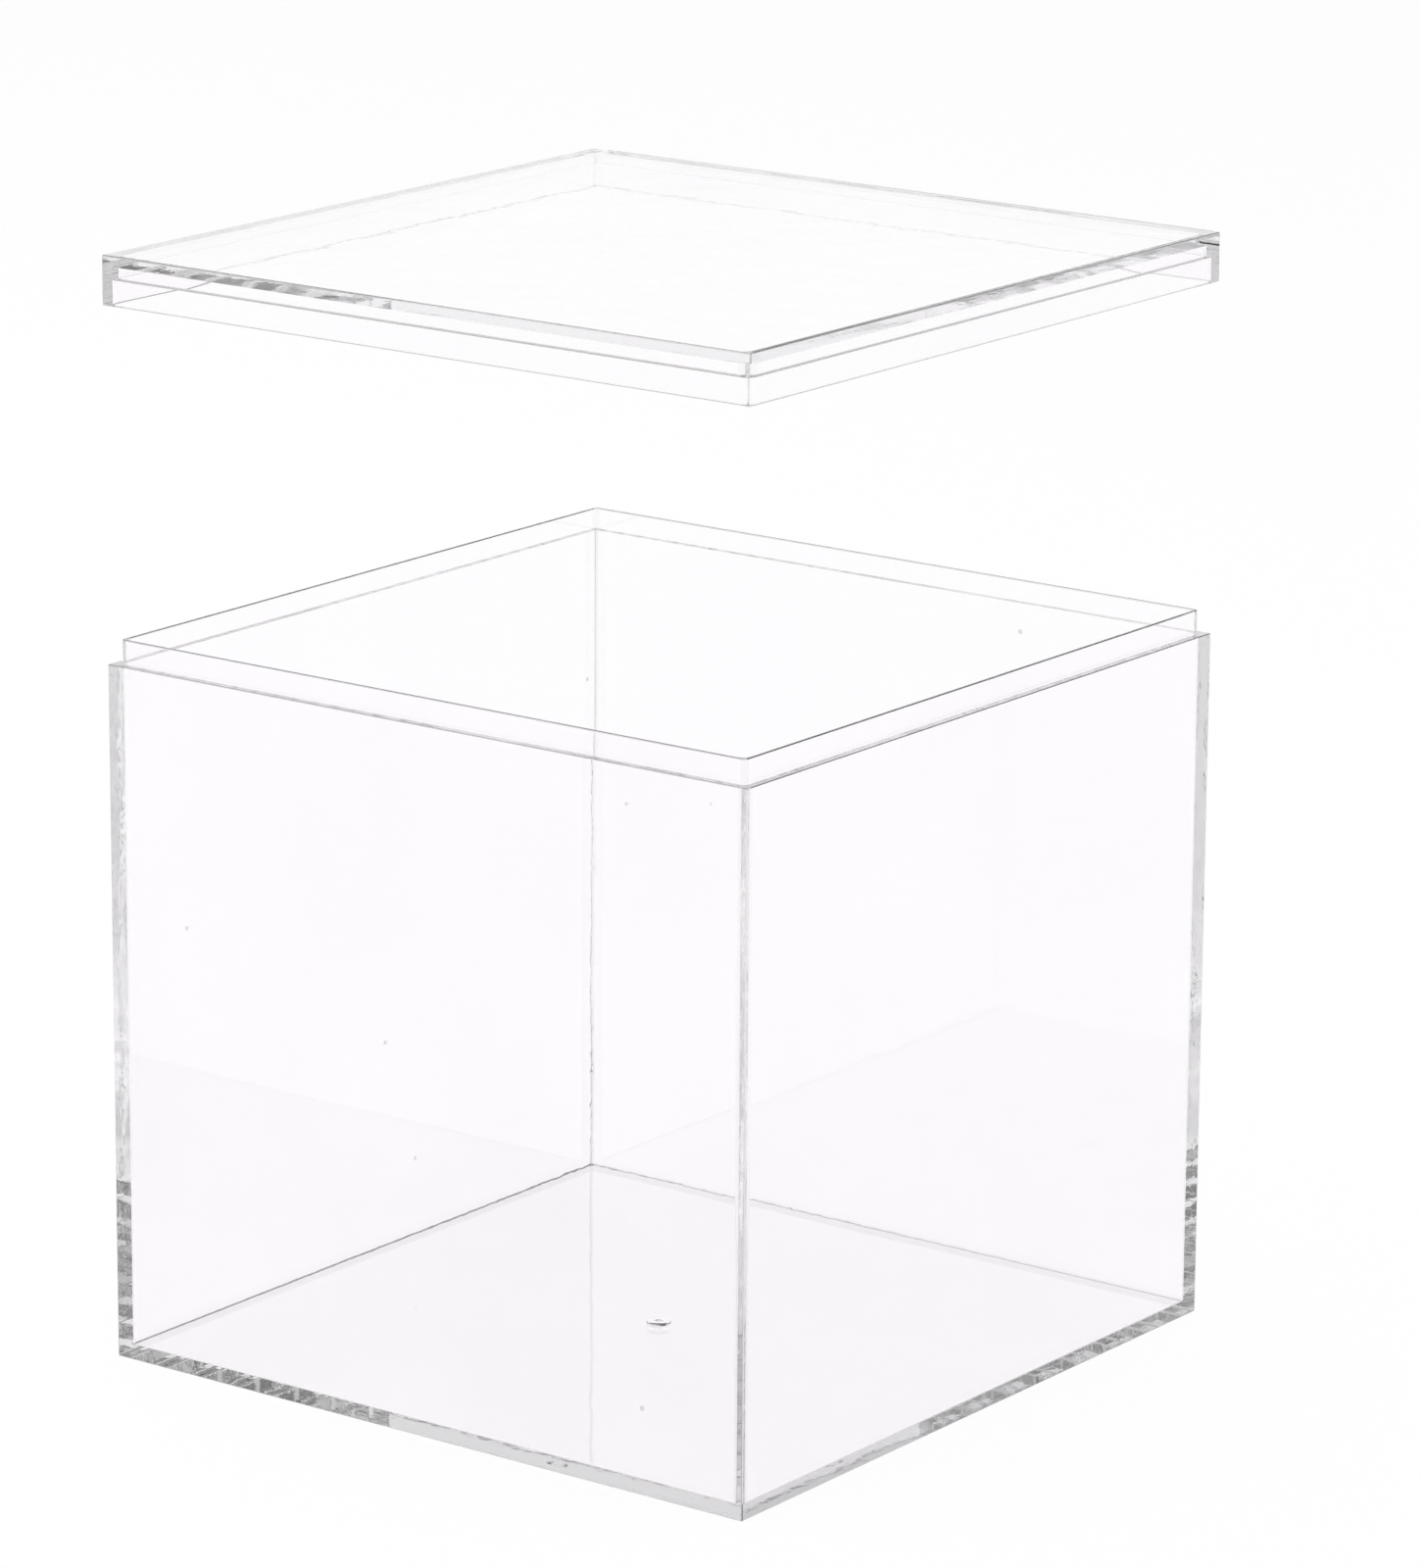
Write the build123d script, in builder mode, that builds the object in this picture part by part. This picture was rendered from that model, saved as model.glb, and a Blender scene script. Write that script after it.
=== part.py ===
from build123d import *

import os

# A clear square storage box with a lid that slips over its rim.
#
# Two moulded pieces. The box body is a five-sided box whose walls step in at the
# top to a thin rim. The lid is a flat plate with a skirt that slips over that rim
# and stands on the step around it, so that the closed sides are flush.
#
# +Z is up and the origin is at the centre of the base. The lid is drawn raised
# straight above the body, and it comes down by lid_lift to close the box.

# Box body, in millimetres
box_side = 120.0
shoulder_height = 110.0
wall = 2.0
floor_thickness = 2.0
cavity_corner_radius = 0.5
cavity_round = 0.3
edge_round = 0.25

# Rim that the lid slips over, set in from the outside of the walls
rim_inset = 1.35
rim_height = 3.8
rim_corner_radius = 0.9
rim_top_round = 0.2
step_round = 0.15

# Gate mark in the middle of the cavity's floor: a low round pad with a dimple in it
gate_pad_diameter = 3.8
gate_pad_height = 0.3
gate_pad_round = 0.08
gate_dimple_diameter = 1.4
gate_dimple_depth = 0.15

# Lid
lid_plate = 1.9
lid_pocket_depth = 1.75
lid_pocket_corner_radius = 1.0
skirt_side_clearance = 0.2
skirt_top_clearance = 0.2
skirt_end_round = 0.12
ledge_round = 0.15
lid_lift = 55.0

# Sizes that follow from those above
cavity_side = box_side - 2 * wall
rim_side = box_side - 2 * rim_inset
cavity_depth = shoulder_height + rim_height - floor_thickness
socket_side = rim_side + 2 * skirt_side_clearance
socket_depth = rim_height + skirt_top_clearance
socket_corner_radius = rim_corner_radius + skirt_side_clearance
lid_height = socket_depth + lid_pocket_depth + lid_plate
lid_base = shoulder_height + lid_lift

# Level faces of each piece, from the bottom up
base_plane = Plane.XY
floor_plane = Plane.XY.offset(floor_thickness)
pad_plane = Plane.XY.offset(floor_thickness + gate_pad_height)
shoulder_plane = Plane.XY.offset(shoulder_height)
skirt_plane = Plane.XY.offset(lid_base)
ledge_plane = Plane.XY.offset(lid_base + socket_depth)

# Box body
with BuildPart() as box_body:
    with BuildSketch(base_plane):
        Rectangle(box_side, box_side)
    extrude(amount=shoulder_height)

    # The outside edges are only just eased
    outer_edges = box_body.edges().filter_by(Axis.Z) + box_body.edges().group_by(Axis.Z)[0]
    fillet(outer_edges, radius=edge_round)
    step_edges = box_body.edges().group_by(Axis.Z)[-1]
    fillet(step_edges, radius=step_round)

    # Thin rim that stands on the walls
    with BuildSketch(shoulder_plane):
        RectangleRounded(rim_side, rim_side, rim_corner_radius)
    extrude(amount=rim_height)

    # Inside of the box, open through the rim
    with BuildSketch(floor_plane):
        RectangleRounded(cavity_side, cavity_side, cavity_corner_radius)
    extrude(amount=cavity_depth, mode=Mode.SUBTRACT)
    floor_edges = box_body.edges(Select.LAST).group_by(Axis.Z)[0]
    fillet(floor_edges, radius=cavity_round)

    # Both top edges of the rim are slightly rounded
    rim_top = box_body.faces().sort_by(Axis.Z)[-1]
    fillet(rim_top.edges(), radius=rim_top_round)

    # Gate pad, which stands on the floor, and the dimple in its top
    with BuildSketch(floor_plane):
        Circle(gate_pad_diameter / 2)
    extrude(amount=gate_pad_height)
    pad_top = box_body.faces(Select.LAST).filter_by(Axis.Z).sort_by(Axis.Z)[-1]
    fillet(pad_top.edges(), radius=gate_pad_round)
    with BuildSketch(pad_plane):
        Circle(gate_dimple_diameter / 2)
    extrude(amount=-gate_dimple_depth, mode=Mode.SUBTRACT)

box_body.part.label = "box_body"

# Lid
with BuildPart() as lid:
    with BuildSketch(skirt_plane):
        Rectangle(box_side, box_side)
    extrude(amount=lid_height)

    # The outside edges match the box body's
    outer_edges = lid.edges().filter_by(Axis.Z) + lid.edges().group_by(Axis.Z)[-1]
    fillet(outer_edges, radius=edge_round)

    # Socket that the rim enters
    with BuildSketch(skirt_plane):
        RectangleRounded(socket_side, socket_side, socket_corner_radius)
    extrude(amount=socket_depth, mode=Mode.SUBTRACT)
    skirt_end = lid.faces().sort_by(Axis.Z)[0]
    fillet(skirt_end.edges(), radius=skirt_end_round)

    # Shallow pocket above it, as wide as the inside of the box, which leaves a ledge over the rim
    with BuildSketch(ledge_plane):
        RectangleRounded(cavity_side, cavity_side, lid_pocket_corner_radius)
    extrude(amount=lid_pocket_depth, mode=Mode.SUBTRACT)
    ledge = lid.faces().filter_by(Axis.Z).sort_by(Axis.Z)[1]
    fillet(ledge.edges(), radius=ledge_round)

lid.part.label = "lid"

os.makedirs("parts", exist_ok=True)
export_step(box_body.part, "parts/box_body.step")
export_step(lid.part, "parts/lid.step")
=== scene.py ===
import math

import bmesh
import bpy
from mathutils import Matrix, Vector


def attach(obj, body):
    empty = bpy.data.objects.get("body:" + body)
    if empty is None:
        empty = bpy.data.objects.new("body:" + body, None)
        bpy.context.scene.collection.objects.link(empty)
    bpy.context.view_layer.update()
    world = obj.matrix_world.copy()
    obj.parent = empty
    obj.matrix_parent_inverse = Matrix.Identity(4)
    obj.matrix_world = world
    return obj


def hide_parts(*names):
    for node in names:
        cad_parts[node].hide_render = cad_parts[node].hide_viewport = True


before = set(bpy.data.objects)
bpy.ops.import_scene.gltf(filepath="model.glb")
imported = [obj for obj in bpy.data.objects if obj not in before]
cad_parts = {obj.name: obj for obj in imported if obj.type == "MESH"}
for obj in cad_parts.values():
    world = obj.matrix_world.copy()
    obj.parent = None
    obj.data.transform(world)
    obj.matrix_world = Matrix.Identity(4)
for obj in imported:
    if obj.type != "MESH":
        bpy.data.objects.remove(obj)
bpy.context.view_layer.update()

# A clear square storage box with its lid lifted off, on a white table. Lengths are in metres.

MM = 0.001

# Box body, with the same sizes as its solid
SIDE = 120 * MM
SHOULDER = 110 * MM
WALL = 2 * MM
FLOOR = 2 * MM
CAVITY_CORNER = 0.5 * MM
CAVITY_ROUND = 0.3 * MM
EDGE_ROUND = 0.25 * MM

# Rim that the lid slips over, and the step around it
RIM_INSET = 1.35 * MM
RIM_HEIGHT = 3.8 * MM
RIM_CORNER = 0.9 * MM
RIM_TOP_ROUND = 0.2 * MM
STEP_ROUND = 0.15 * MM

# Gate mark in the middle of the cavity's floor
GATE_PAD_RADIUS = 1.9 * MM
GATE_PAD_HEIGHT = 0.3 * MM
GATE_PAD_ROUND = 0.08 * MM
GATE_DIMPLE_RADIUS = 0.7 * MM
GATE_DIMPLE_DEPTH = 0.15 * MM

# Lid, raised above the box body
LID_PLATE = 1.9 * MM
LID_POCKET = 1.75 * MM
POCKET_CORNER = 1 * MM
SOCKET_SIDE_GAP = 0.2 * MM
SOCKET_TOP_GAP = 0.2 * MM
SKIRT_END_ROUND = 0.12 * MM
LEDGE_ROUND = 0.15 * MM
LID_LIFT = 55 * MM

# Reaches from the middle, and levels from the base up, that follow from those sizes
half = SIDE / 2
rim_reach = half - RIM_INSET
cavity_reach = half - WALL
skirt_wall = RIM_INSET - SOCKET_SIDE_GAP
socket_corner = RIM_CORNER + SOCKET_SIDE_GAP
pad_top = FLOOR + GATE_PAD_HEIGHT
rim_top = SHOULDER + RIM_HEIGHT
socket_depth = RIM_HEIGHT + SOCKET_TOP_GAP
lid_base = SHOULDER + LID_LIFT
ledge = lid_base + socket_depth
lid_top = ledge + LID_POCKET + LID_PLATE

# Steps that the rounds are divided in
CORNER_STEPS = 8
CAVITY_STEPS = 6
EDGE_STEPS = 5
TOP_STEPS = 4
FINE_STEPS = 3
PAD_SIDES = 64
SMOOTH_BELOW = math.radians(40)

# How strongly painted shade greys the small rounds close to each level, and its ledge if it has
# one
PAINTED_SHADE_SHARES = {
    0: (1, 0), FLOOR: (0.35, 0), SHOULDER: (1, 0), rim_top: (0.8, 0.8),
    lid_base: (0.4, 0.4), ledge: (1, 1), lid_top: (0, 0)}
# Painted shade on the upright corner rounds and on the gate pad
UPRIGHT_PAINTED_SHADE = 0.2
GATE_PAINTED_SHADE = 0.8

# Corners closer together than the first are merged, and places are told apart by the second
SAME = 0.001 * MM
NEAR = 0.01 * MM

# Parts of a face's normal: a face is square, or at least level, where more than these point up
# or down, and upright where less than this does. It turns a corner where more than this points
# along both x and y.
SQUARE = 0.9999
LEVEL = 0.99
UPRIGHT = 0.02
TURNED = 0.05


# Modelling


def open_piece(piece):
    """Opens one piece in edit mode with nothing selected."""
    bpy.ops.object.select_all(action="DESELECT")
    piece.select_set(True)
    bpy.context.view_layer.objects.active = piece
    bpy.ops.object.mode_set(mode="EDIT")
    bpy.ops.mesh.select_mode(type="EDGE")
    bpy.ops.mesh.select_all(action="DESELECT")


def close_piece():
    bpy.ops.object.mode_set(mode="OBJECT")


def block(name, low, high):
    """Adds a block between two heights, as wide as the box, and opens it."""
    bpy.ops.object.select_all(action="DESELECT")
    middle = (0, 0, (low + high) / 2)
    bpy.ops.mesh.primitive_cube_add(size=SIDE, location=middle, scale=(1, 1, (high - low) / SIDE))
    piece = bpy.context.object
    piece.name = name
    piece.data.name = name
    bpy.ops.object.transform_apply(location=True, rotation=True, scale=True)
    open_piece(piece)
    return piece


def pick_faces(wanted):
    """Selects the faces of the open piece that pass a test."""
    bpy.ops.mesh.select_mode(type="FACE")
    bpy.ops.mesh.select_all(action="DESELECT")
    mesh = bmesh.from_edit_mesh(bpy.context.object.data)
    for face in mesh.faces:
        face.select_set(wanted(face))
    bmesh.update_edit_mesh(bpy.context.object.data)


def pick_edges(wanted):
    """Selects the edges of the open piece that pass a test."""
    bpy.ops.mesh.select_mode(type="EDGE")
    bpy.ops.mesh.select_all(action="DESELECT")
    mesh = bmesh.from_edit_mesh(bpy.context.object.data)
    for edge in mesh.edges:
        edge.select_set(wanted(edge))
    bmesh.update_edit_mesh(bpy.context.object.data)


def level_at(height, reach):
    """A test for the level face at a height whose corners lie that far out from the middle."""
    def test(face):
        places = [vert.co for vert in face.verts]
        level = all(abs(p.z - height) < NEAR for p in places)
        return level and all(abs(max(abs(p.x), abs(p.y)) - reach) < NEAR for p in places)
    return test


def corner_at(reach):
    """A test for the edges that run up the corners of a square that reaches that far out."""
    def test(edge):
        a, b = (vert.co for vert in edge.verts)
        at_corner = all(abs(abs(p.x) - reach) + abs(abs(p.y) - reach) < NEAR for p in (a, b))
        return at_corner and abs(a.z - b.z) > NEAR
    return test


def turn_at(height, least_reach=0.0):
    """A test for the edges at a height where a level face meets a steeper one."""
    def test(edge):
        ends = [vert.co for vert in edge.verts]
        here = all(abs(p.z - height) < NEAR for p in ends)
        far = all(max(abs(p.x), abs(p.y)) > least_reach for p in ends)
        level = sum(abs(face.normal.z) > LEVEL for face in edge.link_faces)
        return here and far and level == 1
    return test


def round_off(radius, steps, *tests):
    """Rounds the edges that pass any of the tests, all in one go so that they meet in balls."""
    pick_edges(lambda edge: any(test(edge) for test in tests))
    bpy.ops.mesh.bevel(offset=radius, segments=steps, affect="EDGES", clamp_overlap=False)


def step_in(wanted, inset, rise):
    """Insets the face that passes a test and draws it up or down into a step."""
    pick_faces(wanted)
    bpy.ops.mesh.inset(thickness=inset)
    bpy.ops.mesh.extrude_region_move(TRANSFORM_OT_translate={"value": (0, 0, rise)})


def painted_shade_share(face):
    """How strongly painted shade greys one face, from none to full."""
    rise = abs(face.normal.z)
    reach = max(abs(part) for part in face.center[:2])
    level = min(PAINTED_SHADE_SHARES, key=lambda height: abs(height - face.center.z))
    on_round, on_ledge = PAINTED_SHADE_SHARES[level]
    at_turn = min(abs(face.normal.x), abs(face.normal.y)) > TURNED
    if reach < GATE_PAD_RADIUS and FLOOR + NEAR < face.center.z < pad_top - NEAR:
        return GATE_PAINTED_SHADE
    if UPRIGHT < rise < SQUARE:
        return on_round
    if rise > SQUARE and reach > cavity_reach:
        return on_ledge
    if rise <= UPRIGHT and at_turn and not cavity_reach < reach < half - EDGE_ROUND:
        return UPRIGHT_PAINTED_SHADE
    return 0


def finish_surface(piece):
    """Marks the ledges and small rounds with their painted shade, and shades the rounds smoothly.
    """
    open_piece(piece)
    bpy.ops.mesh.select_all(action="SELECT")
    bpy.ops.mesh.remove_doubles(threshold=SAME)
    close_piece()
    painted_edge_shade = piece.data.attributes.new("painted_edge_shade", "FLOAT", "FACE")
    for face in piece.data.polygons:
        painted_edge_shade.data[face.index].value = painted_shade_share(face)
    bpy.ops.object.shade_smooth_by_angle(angle=SMOOTH_BELOW)
    weighted = piece.modifiers.new("flat_faces", "WEIGHTED_NORMAL")
    weighted.keep_sharp = True
    weighted.weight = 100
    bpy.ops.object.modifier_apply(modifier=weighted.name)


# Box body: a block whose top is stepped in to the rim and then down to the floor
box = block("clear_box", 0, SHOULDER)
step_in(level_at(SHOULDER, half), RIM_INSET, RIM_HEIGHT)
step_in(level_at(rim_top, rim_reach), WALL - RIM_INSET, FLOOR - rim_top)
round_off(EDGE_ROUND, EDGE_STEPS, corner_at(half), turn_at(0))
round_off(RIM_CORNER, CORNER_STEPS, corner_at(rim_reach))
round_off(CAVITY_CORNER, CAVITY_STEPS, corner_at(cavity_reach))
round_off(CAVITY_ROUND, EDGE_STEPS, turn_at(FLOOR))
round_off(STEP_ROUND, TOP_STEPS, turn_at(SHOULDER, half - EDGE_ROUND))
round_off(RIM_TOP_ROUND, TOP_STEPS, turn_at(rim_top))
close_piece()

# Gate pad: a low turned pad with a dimple, joined to the middle of the cavity's floor
bpy.ops.object.select_all(action="DESELECT")
bpy.ops.mesh.primitive_cylinder_add(
    vertices=PAD_SIDES, radius=GATE_PAD_RADIUS, depth=2 * GATE_PAD_HEIGHT, location=(0, 0, FLOOR))
pad = bpy.context.object
bpy.ops.object.transform_apply(location=True, rotation=True, scale=True)
open_piece(pad)
round_off(GATE_PAD_ROUND, FINE_STEPS, turn_at(pad_top))
dimple_inset = GATE_PAD_RADIUS - GATE_PAD_ROUND - GATE_DIMPLE_RADIUS
step_in(lambda face: face.normal.z > SQUARE, dimple_inset, -GATE_DIMPLE_DEPTH)
close_piece()
joined = box.modifiers.new("gate_pad", "BOOLEAN")
joined.operation = "UNION"
joined.solver = "EXACT"
joined.object = pad
bpy.ops.object.select_all(action="DESELECT")
box.select_set(True)
bpy.context.view_layer.objects.active = box
bpy.ops.object.modifier_apply(modifier=joined.name)
bpy.data.objects.remove(pad)
finish_surface(box)

# Lid: a block hollowed from below, first for the rim and then for the shallow pocket
lid = block("clear_lid", lid_base, lid_top)
step_in(level_at(lid_base, half), skirt_wall, socket_depth)
step_in(level_at(ledge, half - skirt_wall), WALL - skirt_wall, LID_POCKET)
round_off(EDGE_ROUND, EDGE_STEPS, corner_at(half), turn_at(lid_top))
round_off(socket_corner, CORNER_STEPS, corner_at(half - skirt_wall))
round_off(POCKET_CORNER, CORNER_STEPS, corner_at(cavity_reach))
round_off(SKIRT_END_ROUND, FINE_STEPS, turn_at(lid_base))
round_off(LEDGE_ROUND, FINE_STEPS, turn_at(ledge))
close_piece()
finish_surface(lid)


# Shading


class Value:
    """A socket that can be used in sums with others and with plain numbers."""

    def __init__(self, tree, socket):
        self.tree = tree
        self.socket = socket

    def math(self, operation, *others):
        inputs = dict(enumerate([self, *others]))
        return node(self.tree, "ShaderNodeMath", {"operation": operation}, inputs)[0]

    def __add__(self, other):
        return self.math("ADD", other)

    def __radd__(self, other):
        return self.math("ADD", other)

    def __sub__(self, other):
        return self.math("SUBTRACT", other)

    def __rsub__(self, other):
        return self.math("MULTIPLY", -1).math("ADD", other)

    def __mul__(self, other):
        return self.math("MULTIPLY", other)

    def __rmul__(self, other):
        return self.math("MULTIPLY", other)

    def smooth(self, low, high):
        """Eases from 0 at one value to 1 at another."""
        settings = {"interpolation_type": "SMOOTHSTEP", "clamp": True}
        sockets = {"Value": self, "From Min": low, "From Max": high}
        return node(self.tree, "ShaderNodeMapRange", settings, sockets)[0]


def node(tree, kind, settings=None, sockets=None):
    """Adds a node, sets it up, feeds its sockets and returns its outputs as values."""
    made = tree.nodes.new(kind)
    for name, value in (settings or {}).items():
        setattr(made, name, value)
    for name, value in (sockets or {}).items():
        if isinstance(value, Value):
            tree.links.new(value.socket, made.inputs[name])
        else:
            made.inputs[name].default_value = value
    return [Value(tree, output) for output in made.outputs]


def fresh_tree(owner):
    owner.use_nodes = True
    owner.node_tree.nodes.clear()
    return owner.node_tree


def noise(tree, place, scale, detail, roughness):
    """Soft noise between 0 and 1 over places or directions."""
    sockets = {"Vector": place, "Scale": scale, "Detail": detail, "Roughness": roughness}
    return node(tree, "ShaderNodeTexNoise", {}, sockets)[0]


def between(tree, share, first, second):
    """A colour that goes from the first to the second as the share goes from 0 to 1."""
    # Its sockets for colours are taken by number, because those for plain values share their names
    return node(tree, "ShaderNodeMix", {"data_type": "RGBA"}, {0: share, 6: first, 7: second})[2]


# Outputs of the Texture Coordinate and Light Path nodes, by their number
DIRECTION, PLACE = 0, 3
IN_SHADOW_RAY, IN_DIFFUSE_RAY, DEPTH = 1, 2, 9

# Clear moulded acrylic: a faint warm violet cast that comes and goes, a few dark specks,
# painted shade that greys the ledges and rounds, and a greyer tone through its depth
REFRACTION = 1.49
CLEAR = (0.998, 0.988, 0.998, 1)
CLOUDED = (0.990, 0.977, 0.990, 1)
SPECK = (0.5, 0.49, 0.5, 1)
# Grey of the painted shade on ledges and rounds
PAINTED_EDGE_SHADE = (0.55, 0.54, 0.555, 1)
LET_BY = (0.995, 0.993, 0.995, 1)
THROUGH_DEPTH = (0.75, 0.74, 0.755, 1)
DEPTH_DENSITY = 3.2

# Scale, detail and roughness of its cloudiness, and how its specks are spread and where they end
CLOUDS = (22.0, 2.0, 0.5)
CLOUD_EDGE = (0.35, 0.7)
SPECK_SPREAD = 40.0
SPECK_EDGE = (0.012, 0.02)

# The mould's slight swell, with a finer ripple and grain on it: scale, detail and roughness
SWELL = (50.0, 1.0, 0.4)
RIPPLE = (230.0, 2.0, 0.5)
GRAIN = (900.0, 1.0, 0.5)
RIPPLE_SHARE = 0.06
GRAIN_SHARE = 0.02
SWELL_STRENGTH = 0.25
SWELL_HEIGHT = 0.2 * MM


def clear_acrylic():
    material = bpy.data.materials.new("clear_acrylic")
    tree = fresh_tree(material)
    place = node(tree, "ShaderNodeTexCoord")[PLACE]
    swell = noise(tree, place, *SWELL)
    ripple = noise(tree, place, *RIPPLE)
    grain = noise(tree, place, *GRAIN)
    normal = node(tree, "ShaderNodeBump", {}, {
        "Height": swell + ripple * RIPPLE_SHARE + grain * GRAIN_SHARE,
        "Strength": SWELL_STRENGTH, "Distance": SWELL_HEIGHT})[0]

    cloud = noise(tree, place, *CLOUDS).smooth(*CLOUD_EDGE)
    seeds = node(tree, "ShaderNodeTexVoronoi", {}, {"Vector": place, "Scale": SPECK_SPREAD})[0]
    speck = 1 - seeds.smooth(*SPECK_EDGE)
    painted_edge_shade = node(tree, "ShaderNodeAttribute", {"attribute_name": "painted_edge_shade"})[2]
    tone = between(tree, cloud, CLEAR, CLOUDED)
    tone = between(tree, speck, tone, SPECK)
    # Painted shade greys the ledges, small rounds and gate pad
    tone = between(tree, painted_edge_shade, tone, PAINTED_EDGE_SHADE)
    body = node(tree, "ShaderNodeBsdfPrincipled", {}, {
        "Base Color": tone, "Roughness": 0.0, "IOR": REFRACTION,
        "Transmission Weight": 1.0, "Normal": normal})[0]

    # The light that falls on the table passes straight through, so that the shadow stays pale
    light = node(tree, "ShaderNodeLightPath")
    lets_light_by = light[IN_SHADOW_RAY].math("MAXIMUM", light[IN_DIFFUSE_RAY])
    passing = node(tree, "ShaderNodeBsdfTransparent", {}, {"Color": LET_BY})[0]
    shown = node(tree, "ShaderNodeMixShader", {}, {0: lets_light_by, 1: body, 2: passing})[0]
    depth = node(tree, "ShaderNodeVolumeAbsorption", {}, {
        "Color": THROUGH_DEPTH, "Density": DEPTH_DENSITY})[0]
    node(tree, "ShaderNodeOutputMaterial", {}, {"Surface": shown, "Volume": depth})
    return material


acrylic = clear_acrylic()
for piece, cad_node, body in ((box, "box_body", "box"), (lid, "lid", "lid")):
    piece.data.materials.clear()
    piece.data.materials.append(acrylic)
    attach(piece, body)
    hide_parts(cad_node)


# Table and studio

# The way that the box is turned in the photograph, which the studio's flanks follow
VIEW_TURN = math.radians(36.706)

# Ray depths at which light begins to count, and fully counts, as light that ran inside the
# walls, far inside them, and farthest
INSIDE_RUN = (3, 9)
FAR_RUN = (15, 22)
FARTHEST_RUN = (23, 28)


def right_part(tree, vector):
    """How far a vector points to the right, seen from the front of the studio."""
    x, y = node(tree, "ShaderNodeSeparateXYZ", {}, {"Vector": vector})[:2]
    return x * math.cos(VIEW_TURN) + y * math.sin(VIEW_TURN)


def up_part(tree, vector):
    """How far a vector points up."""
    return node(tree, "ShaderNodeSeparateXYZ", {}, {"Vector": vector})[2]


# The table lies a hair below the base, so that the two faces don't coincide
TABLE_SIDE = 14
TABLE_GAP = 0.1 * MM
TABLE_WHITE = (0.97, 0.97, 0.972, 1)

# Painted shade on the table for light that ran far inside the walls: its tone close to the box,
# the painted shadow beneath it and how the farthest run regains it, and the tone gained away from
# it and lost aside
CLOSE_TONE = 0.72
BENEATH_LOSS = 0.22
FARTHEST_GAIN = 0.36
AWAY_GAIN = 0.24
ASIDE_LOSS = 0.2

# Distances from the middle between which each of those comes in
BENEATH_ENDS = (85 * MM, 92 * MM)
AWAY_STARTS = (97 * MM, 112 * MM)
ASIDE_STARTS = (90 * MM, 130 * MM)

# Mottling of that painted shade: scale, detail and roughness, its edge, and its least and added
# strength
TABLE_MOTTLE = (160.0, 2.0, 0.6)
TABLE_MOTTLE_EDGE = (0.3, 0.7)
MOTTLE_LEAST, MOTTLE_ADDED = 0.86, 0.28

bpy.ops.object.select_all(action="DESELECT")
bpy.ops.mesh.primitive_plane_add(size=TABLE_SIDE, location=(0, 0, -TABLE_GAP))
table = bpy.context.object
table.name = "table"
white = bpy.data.materials.new("white_table")
tree = fresh_tree(white)
depth = node(tree, "ShaderNodeLightPath")[DEPTH]
place = node(tree, "ShaderNodeTexCoord")[PLACE]
distance = node(tree, "ShaderNodeVectorMath", {"operation": "LENGTH"}, {0: place})[1]
beneath = 1 - distance.smooth(*BENEATH_ENDS)
away = distance.smooth(*AWAY_STARTS)
aside = right_part(tree, place).math("ABSOLUTE").smooth(*ASIDE_STARTS)
mottle = noise(tree, place, *TABLE_MOTTLE).smooth(*TABLE_MOTTLE_EDGE)
lost = beneath * (BENEATH_LOSS - depth.smooth(*FARTHEST_RUN) * FARTHEST_GAIN)
gained = away * (AWAY_GAIN - aside * ASIDE_LOSS)
# Painted shade and shadow on the table, for light that ran far inside the walls
painted_table_shade = (CLOSE_TONE - lost + gained) * (MOTTLE_LEAST + mottle * MOTTLE_ADDED)
matt = node(tree, "ShaderNodeBsdfDiffuse", {}, {"Color": TABLE_WHITE})[0]
shaded = node(tree, "ShaderNodeBsdfDiffuse", {}, {"Color": painted_table_shade})[0]
far_run = depth.smooth(*FAR_RUN)
table_tone = node(tree, "ShaderNodeMixShader", {}, {0: far_run, 1: matt, 2: shaded})[0]
node(tree, "ShaderNodeOutputMaterial", {}, {"Surface": table_tone})
table.data.materials.append(white)


# The studio: a white room up to eye level, shaded flanks above it, and a broad soft ceiling.
# The flanks are paler for plain reflections than for light that ran inside the walls.
RIGHT_FLANK = 0.82
LEFT_FLANK = 0.8
PALE_FLANK = 0.2
FAR_LOSS = 0.4
BACKDROP_LOSS = 0.05
CEILING_SEEN = 0.28
CEILING_LIGHT = 0.89

# How far right or left the flanks begin, and how far up the shaded band, backdrop and ceiling do
FLANK_STARTS = (0.2, 0.75)
BAND_STARTS = (0.12, 0.18)
BACKDROP_STARTS = (0.2, 0.3)
CEILING_STARTS = (0.42, 0.7)

# Mottling of the flanks: scale, detail and roughness, its edge, and its least strength
FLANK_MOTTLE = (45.0, 1.0, 0.5)
FLANK_MOTTLE_EDGE = (0.32, 0.68)
FLANK_MOTTLE_LEAST = 0.5

world = bpy.data.worlds.new("studio")
bpy.context.scene.world = world
tree = fresh_tree(world)
light = node(tree, "ShaderNodeLightPath")
direction = node(tree, "ShaderNodeTexCoord")[DIRECTION]
right = right_part(tree, direction)
up = up_part(tree, direction)
on_right = right.smooth(*FLANK_STARTS)
on_left = right.smooth(*(-start for start in FLANK_STARTS))
mottle = noise(tree, direction, *FLANK_MOTTLE).smooth(*FLANK_MOTTLE_EDGE)
inside = light[DEPTH].smooth(*INSIDE_RUN).math("MAXIMUM", light[IN_DIFFUSE_RAY])
flanks = on_right * RIGHT_FLANK + on_left * LEFT_FLANK
flanks = flanks * (FLANK_MOTTLE_LEAST + mottle * (1 - FLANK_MOTTLE_LEAST))
flanks = flanks * (PALE_FLANK + inside * (1 - PALE_FLANK))
far_run = light[DEPTH].smooth(*FAR_RUN)
far_lost = far_run * (1 - on_right - on_left) * FAR_LOSS
shade = 1 - up.smooth(*BACKDROP_STARTS) * BACKDROP_LOSS - flanks - far_lost
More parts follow.
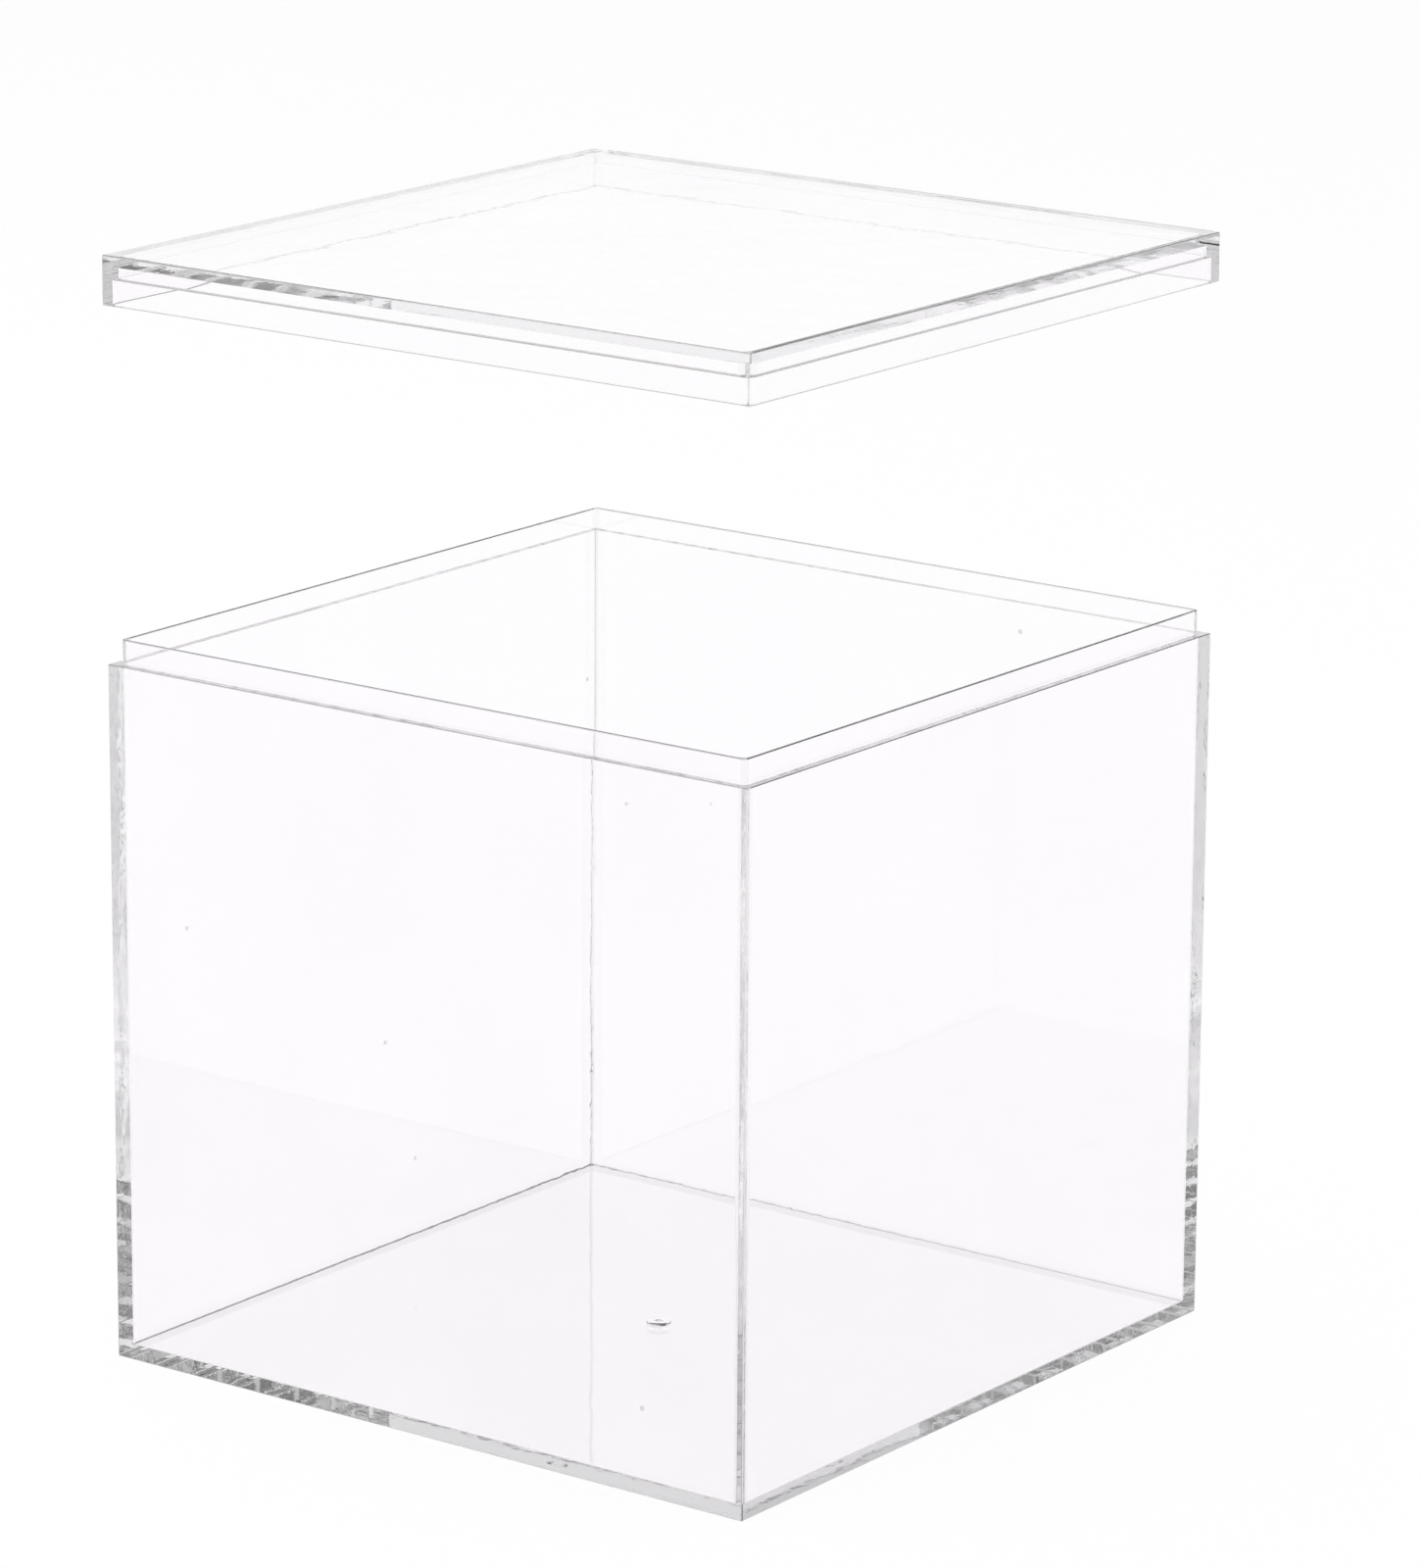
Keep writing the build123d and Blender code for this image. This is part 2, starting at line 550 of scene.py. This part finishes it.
ceiling = up.smooth(*CEILING_STARTS)
band = up.smooth(*BAND_STARTS) * (1 - ceiling)
overhead = CEILING_SEEN + light[IN_DIFFUSE_RAY] * CEILING_LIGHT
level = (1 - band - ceiling) + band * shade + ceiling * overhead
glow = node(tree, "ShaderNodeBackground", {}, {"Color": (1, 1, 1, 1), "Strength": level})[0]
node(tree, "ShaderNodeOutputWorld", {}, {"Surface": glow})

# One broad soft lamp from above and in front, aimed at the middle of the box
LAMP_PLACE = (-0.7, -0.5, 1.5)
LAMP_AIM = (0, 0, 0.08)
LAMP_SIDE = 1.1
LAMP_POWER = 1.5
bpy.ops.object.light_add(type="AREA", location=LAMP_PLACE)
softbox = bpy.context.object
softbox.name = "softbox"
softbox.data.shape = "SQUARE"
softbox.data.size = LAMP_SIDE
softbox.data.energy = LAMP_POWER
lamp_line = Vector(LAMP_AIM) - softbox.location
softbox.rotation_euler = lamp_line.to_track_quat("-Z", "Y").to_euler()


# The camera, at the photograph's place: fitted to the box's corners, about a point in its middle
FRAME_LONG_SIDE = 1600
FOCAL_PIXELS = 7486.8
SENSOR_SIDE = 36
CLIP_NEAR, CLIP_FAR = 0.05, 50
VIEW_TILT = math.radians(14.684)
VIEW_ROLL = math.radians(0.346)
MIDDLE = (0, 0, 60 * MM)
STAND_BACK = 1.13052
STEP_RIGHT = 7.21 * MM
STEP_UP = 27.72 * MM
turn = Matrix.Rotation(VIEW_TURN, 3, "Z") @ Matrix.Rotation(math.pi / 2 - VIEW_TILT, 3, "X")
turn = turn @ Matrix.Rotation(VIEW_ROLL, 3, "Z")
eye = Vector(MIDDLE) + turn @ Vector((STEP_RIGHT, STEP_UP, STAND_BACK))
bpy.ops.object.camera_add(location=eye, rotation=turn.to_euler())
camera = bpy.context.object
camera.name = "camera"
camera.data.sensor_width = SENSOR_SIDE
camera.data.lens = FOCAL_PIXELS / FRAME_LONG_SIDE * SENSOR_SIDE
camera.data.clip_start = CLIP_NEAR
camera.data.clip_end = CLIP_FAR
bpy.context.scene.camera = camera

# Light may cross many walls and run far inside them before it leaves
BOUNCES = 64
cycles = bpy.context.scene.cycles
cycles.max_bounces = BOUNCES
cycles.transmission_bounces = BOUNCES
cycles.glossy_bounces = BOUNCES
cycles.transparent_max_bounces = BOUNCES
bpy.context.scene.view_settings.view_transform = "Standard"
